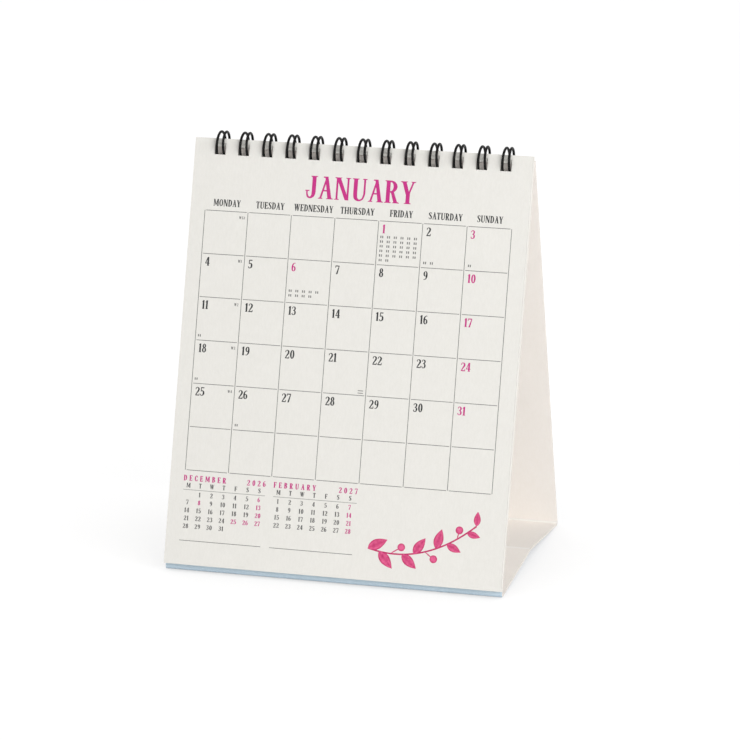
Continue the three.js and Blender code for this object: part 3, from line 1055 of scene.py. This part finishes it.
def leaf_outline():
    """A pointed leaf of length 1 along x, with how near each point is to the rim."""
    points, rims = [], []
    for i in range(LEAF_STEPS + 1):
        t = i / LEAF_STEPS
        half = LEAF_HALF_WIDTH * math.sin(math.pi * t ** 0.8) ** 0.9 if 0 < t < 1 else LEAF_TIP
        for side, rim in LEAF_ACROSS:
            points.append((t, side * half, 0))
            rims.append(rim)
    return points, rims, grid_faces(LEAF_STEPS, len(LEAF_ACROSS) - 1)


def berry_outline(sides=18):
    """A disc of radius 1, with how near each point is to the rim."""
    points, rims = [(0, 0, 0)], [0.0]
    for radius, rim in BERRY_RINGS:
        for i in range(sides):
            a = 2 * math.pi * i / sides
            points.append((radius * math.cos(a), radius * math.sin(a), 0))
            rims.append(rim)
    ring_pairs = [(1 + i, 1 + (i + 1) % sides) for i in range(sides)]
    faces = [(0, a, b) for a, b in ring_pairs]
    faces += [(a, sides + a, sides + b, b) for a, b in ring_pairs]
    return points, rims, faces


def shape_with_rim(name, outline):
    points, rims, faces = outline
    piece = mesh_object(name, points, faces)
    rim = piece.data.attributes.new("rim", "FLOAT", "POINT")
    rim.data.foreach_set("value", rims)
    return piece


leaf = shape_with_rim("leaf_shape", leaf_outline())
berry = shape_with_rim("berry_shape", berry_outline())
print("leaf has", len(leaf.data.polygons), "faces and the berry", len(berry.data.polygons))

# %% Sprig material
SPRIG_ROUGHNESS = 0.62
sprig_ink, tree, surface = new_material("sprig_ink")
rim = add_node(tree, "ShaderNodeAttribute", {"attribute_name": "rim"}).outputs["Fac"]
brush = noise(tree, object_place(tree), 900.0, detail=3.0, roughness=0.7)
wet = ranged(tree, brush, (0.35, 0.65), (-0.25, 0.3))
wet_edge = maths(tree, "ADD", rim, wet, clamp=True)
texture = add_node(tree, "ShaderNodeGroup", {"node_tree": grain})
feed(tree, surface, {
    "Base Color": blend_colours(tree, wet_edge, colour("#dd5a8c"), colour("#b3145a")),
    "Normal": bumped(tree, texture.outputs["Height"], 0.25, TOOTH_DEPTH),
})
surface.inputs["Roughness"].default_value = SPRIG_ROUGHNESS

# %% Sprig tree
sprig_tree, given, output = geometry_tree("sprig", [
    ("Leaves", INTEGER), ("Leaf length", FLOAT), ("Stem width", FLOAT), ("Berry size", FLOAT),
    ("Start", VECTOR), ("Bend", VECTOR), ("End", VECTOR), ("Seed", INTEGER), ("Leaf", OBJECT),
    ("Berry", OBJECT), ("Ink", MATERIAL)])


def sprig_math(operation, a, b):
    return maths(sprig_tree, operation, a, b)


def spread(x, y):
    """A scale in the plane of the sheet."""
    return add_node(sprig_tree, "ShaderNodeCombineXYZ", X=x, Y=y, Z=1.0).outputs[0]


def sprig_random(low, high, seed_shift):
    seed = sprig_math("ADD", given["Seed"], seed_shift)
    return add_node(sprig_tree, "FunctionNodeRandomValue", {"data_type": "FLOAT"}, _2=low, _3=high,
                    Seed=seed).outputs[1]


stem_curve = add_node(sprig_tree, "GeometryNodeCurveQuadraticBezier", Resolution=24,
                      Start=given["Start"], Middle=given["Bend"], End=given["End"]).outputs[0]
flat_curve = add_node(sprig_tree, "GeometryNodeSetCurveNormal", {"mode": "Z_UP"},
                      Curve=stem_curve).outputs[0]
spots = add_node(sprig_tree, "GeometryNodeCurveToPoints", {"mode": "COUNT"}, Curve=flat_curve,
                 Count=given["Leaves"]).outputs
spot = add_node(sprig_tree, "GeometryNodeInputIndex").outputs[0]
along = sprig_math("DIVIDE", spot, given["Leaves"])
side = sprig_math("SUBTRACT", sprig_math("MULTIPLY", sprig_math("MODULO", spot, 2.0), 2.0), 1.0)
as_vector = {"data_type": "FLOAT_VECTOR"}
kept_tangent = add_node(sprig_tree, "GeometryNodeStoreNamedAttribute", as_vector, Name="stem_tangent",
                        Geometry=spots["Points"], Value=spots["Tangent"]).outputs[0]
stem_tangent = add_node(sprig_tree, "GeometryNodeInputNamedAttribute", as_vector,
                        Name="stem_tangent").outputs[0]
parts = add_node(sprig_tree, "ShaderNodeSeparateXYZ", Vector=stem_tangent).outputs
heading = sprig_math("ARCTAN2", parts[1], parts[0])


def placed(points, shape_object, turn, size, chosen, lift):
    """A shape on the chosen points, turned in its plane and lifted over what lies under it."""
    shape = add_node(sprig_tree, "GeometryNodeObjectInfo", Object=shape_object).outputs["Geometry"]
    rotation = add_node(sprig_tree, "ShaderNodeCombineXYZ", Z=turn).outputs[0]
    copies = add_node(sprig_tree, "GeometryNodeInstanceOnPoints", Points=points, Instance=shape,
                      Rotation=rotation, Scale=size, Selection=chosen).outputs[0]
    return add_node(sprig_tree, "GeometryNodeTransform", Geometry=copies,
                    Translation=(0.0, 0.0, lift)).outputs[0]


# %% Leaves, stalks and berries
turn = sprig_math("ADD", heading, sprig_math("MULTIPLY", side, sprig_random(0.6, 0.95, 0.0)))
with_berry = sprig_math("COMPARE", sprig_math("MODULO", spot, 3.0), 2.0)
with_leaf = sprig_math("SUBTRACT", 1.0, with_berry)
taper = sprig_math("SUBTRACT", sprig_random(0.95, 1.15, 7.0), sprig_math("MULTIPLY", along, 0.4))
leaf_size = sprig_math("MULTIPLY", given["Leaf length"], taper)
leaf_scale = spread(leaf_size, leaf_size)
stalk_size = sprig_math("MULTIPLY", leaf_size, 0.55)
stalk_scale = spread(stalk_size, sprig_math("MULTIPLY", given["Stem width"], 1.6))
offset = add_node(sprig_tree, "ShaderNodeCombineXYZ",
                  X=sprig_math("MULTIPLY", stalk_size, sprig_math("COSINE", turn, 0.0)),
                  Y=sprig_math("MULTIPLY", stalk_size, sprig_math("SINE", turn, 0.0))).outputs[0]
berry_points = add_node(sprig_tree, "GeometryNodeSetPosition", Geometry=kept_tangent,
                        Offset=offset).outputs[0]
berry_scale = spread(given["Berry size"], given["Berry size"])
section = add_node(sprig_tree, "GeometryNodeCurvePrimitiveLine", Start=(-0.5, 0.0, 0.0),
                   End=(0.5, 0.0, 0.0)).outputs[0]
thin_section = add_node(sprig_tree, "GeometryNodeTransform", Geometry=section,
                        Scale=spread(given["Stem width"], given["Stem width"])).outputs[0]
stem_band = add_node(sprig_tree, "GeometryNodeCurveToMesh", Curve=flat_curve,
                     Profile_Curve=thin_section).outputs[0]
stem_rim = add_node(sprig_tree, "GeometryNodeStoreNamedAttribute", {"data_type": "FLOAT"},
                    Geometry=stem_band, Name="rim", Value=0.9).outputs[0]
LIFT = 0.0008
layers = add_node(sprig_tree, "GeometryNodeJoinGeometry")
for layer in (stem_rim,
              placed(kept_tangent, given["Leaf"], turn, stalk_scale, with_berry, LIFT),
              placed(kept_tangent, given["Leaf"], turn, leaf_scale, with_leaf, 2 * LIFT),
              placed(berry_points, given["Berry"], turn, berry_scale, with_berry, 3 * LIFT)):
    sprig_tree.links.new(layer, layers.inputs[0])
finish_tree(sprig_tree, output, layers.outputs[0], given["Ink"])
print("sprig tree has", len(sprig_tree.nodes), "nodes")


# %% A sprig for each month
SWAY = 1.5
STEM_START, STEM_BEND, STEM_END = (72.5, 138.0), (92.0, 141.0), (110.0, 126.5)
SPRIG_SIZES = {"Leaves": 11, "Leaf length": 7.5, "Stem width": 0.55, "Berry size": 1.35}


def sprig_for(month):
    """A month's own sprig, flat, in the millimetres of the sheet."""
    random.seed(month)
    sway = random.uniform(-SWAY, SWAY)
    corners = zip((STEM_START, STEM_BEND, STEM_END), (sway, -sway, 0.0))
    stem_points = [(x, y + shift, 0.0) for (x, y), shift in corners]
    piece = mesh_object(f"{MONTHS[month - 1]}_sprig", [(0, 0, 0)], [])
    nodes_to_mesh(piece, sprig_tree, {
        **SPRIG_SIZES, **dict(zip(("Start", "Bend", "End"), stem_points)),
        "Seed": month, "Leaf": leaf, "Berry": berry, "Ink": sprig_ink})
    return piece


# %% [markdown]
# ## Printing the sheets
# Ink on paper has no thickness to see, but a face exactly on another one flickers. The print lies
# eight thousandths of a millimetre in front of its own sheet, well inside the air between two
# sheets, and rides on that sheet, so it turns over with it.

# %% Print on every sheet
PRINT_LIFT = 0.008
INKS = {"black": ink_black, "magenta": ink_magenta, "grey": ink_grey}


def on_sheet(index, x, y, lift=0.0):
    """A point of a sheet's print, from the sheet's own millimetres."""
    out = SHEET_FACES[index] + PRINT_LIFT + lift
    return from_axis(x - SHEET_WIDTH / 2, SHEET_EDGE_ABOVE_AXIS - y, out)


def print_sheet(index):
    month = index + 1
    inks = set_month(month)
    for rules in (across, upright):
        set_pattern(inks["grey"], rules, (GRID_LEFT + GRID_RIGHT) / 2, (GRID_TOP + GRID_BOTTOM) / 2)
    if month == 1:
        set_notes(inks["grey"], month)
    points, faces, numbers = [], [], []
    for number, ink in enumerate(INKS):
        corners, polygons = inks[ink]
        add_flat((points, faces), [on_sheet(index, x, y) for x, y in corners], polygons)
        numbers += [number] * len(polygons)
    piece = mesh_object(f"{MONTHS[index]}_print", points, faces)
    for material in INKS.values():
        piece.data.materials.append(material)
    piece.data.polygons.foreach_set("material_index", numbers)
    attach(piece, SHEETS[index])
    return piece


def print_sprig(index):
    piece = sprig_for(index + 1)
    for corner in piece.data.vertices:
        corner.co = on_sheet(index, corner.co.x, corner.co.y, corner.co.z)
    piece.data.update()
    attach(piece, SHEETS[index])
    return piece


for index in range(len(SHEETS)):
    printed = print_sheet(index)
    sprig = print_sprig(index)
    print(printed.name, len(printed.data.polygons), "faces,", sprig.name, len(sprig.data.polygons))
for shape in (leaf, berry):
    bpy.data.objects.remove(shape)

# %% [markdown]
# ## Floor, light and background
# The photograph has a clean white ground with a very faint shadow. The floor is a real white surface
# for the light that bounces off it. For camera rays it shows its own shade more weakly and adds an
# even light, which lifts the ground to white without lighting the calendar. Close to the tent less
# is added where ambient occlusion finds the tent near: this is a painted contact shadow over the faint
# real one.

# %% Floor
FLOOR_WHITE = 0.9
FLOOR_SEEN = 0.22
FLOOR_LIFT = 0.86
PAINTED_SHADOW_REACH = 0.1
PAINTED_SHADOW_POWER = 0.22
FLOOR_REACH = 6
WHITE = (1, 1, 1, 1)


def seen_directly(tree):
    """1 for the camera and in reflections, 0 for light that bounces."""
    light_path = add_node(tree, "ShaderNodeLightPath").outputs
    return maths(tree, "ADD", light_path["Is Camera Ray"], light_path["Is Glossy Ray"], clamp=True)


floor_material, tree, surface = new_material("floor_white")
surface.inputs["Roughness"].default_value = 0.9
surface.inputs["Specular IOR Level"].default_value = 0.1
surface.inputs["Emission Color"].default_value = WHITE
seen = seen_directly(tree)
# Ambient occlusion takes some of the added light away near the tent: a painted contact shadow.
painted_shadow_occlusion = add_node(tree, "ShaderNodeAmbientOcclusion", {"samples": 8},
                    Distance=PAINTED_SHADOW_REACH).outputs["AO"]
lift = maths(tree, "MULTIPLY", maths(tree, "POWER", painted_shadow_occlusion, PAINTED_SHADOW_POWER), FLOOR_LIFT)
feed(tree, surface, {
    "Base Color": ranged(tree, seen, wanted=(FLOOR_WHITE, FLOOR_SEEN)),
    "Emission Strength": maths(tree, "MULTIPLY", seen, lift),
})
floor_corners = [(x * FLOOR_REACH, y * FLOOR_REACH, 0)
                 for x, y in ((-1, -1), (1, -1), (1, 1), (-1, 1))]
floor = mesh_object("floor", floor_corners, [(0, 1, 2, 3)], floor_material)

# %% World and lamps
WORLD_LIGHT = 0.48
world = bpy.data.worlds.new("studio")
bpy.context.scene.world = world
world.use_nodes = True
tree = world.node_tree
background = tree.nodes["Background"]
background.inputs["Color"].default_value = WHITE
feed(tree, background, {"Strength": ranged(tree, seen_directly(tree), wanted=(WORLD_LIGHT, 1.0))})


def soft_lamp(name, place, aim, size, watts):
    lamp_data = bpy.data.lights.new(name, "AREA")
    lamp_data.size = size
    lamp_data.energy = watts
    lamp = bpy.data.objects.new(name, lamp_data)
    bpy.context.scene.collection.objects.link(lamp)
    lamp.location = place
    lamp.rotation_euler = (Vector(aim) - Vector(place)).to_track_quat("-Z", "Y").to_euler()


soft_lamp("key", place=(1.7, -1.75, 0.75), aim=(0, 0, 0.07), size=1.6, watts=28)
soft_lamp("fill", place=(-1.2, -2.0, 1.2), aim=(0, 0, 0.07), size=1.6, watts=9)
soft_lamp("side", place=(2.0, -0.55, 0.8), aim=(0, 0, 0.05), size=1.0, watts=19)
bpy.context.scene.view_settings.view_transform = "Standard"
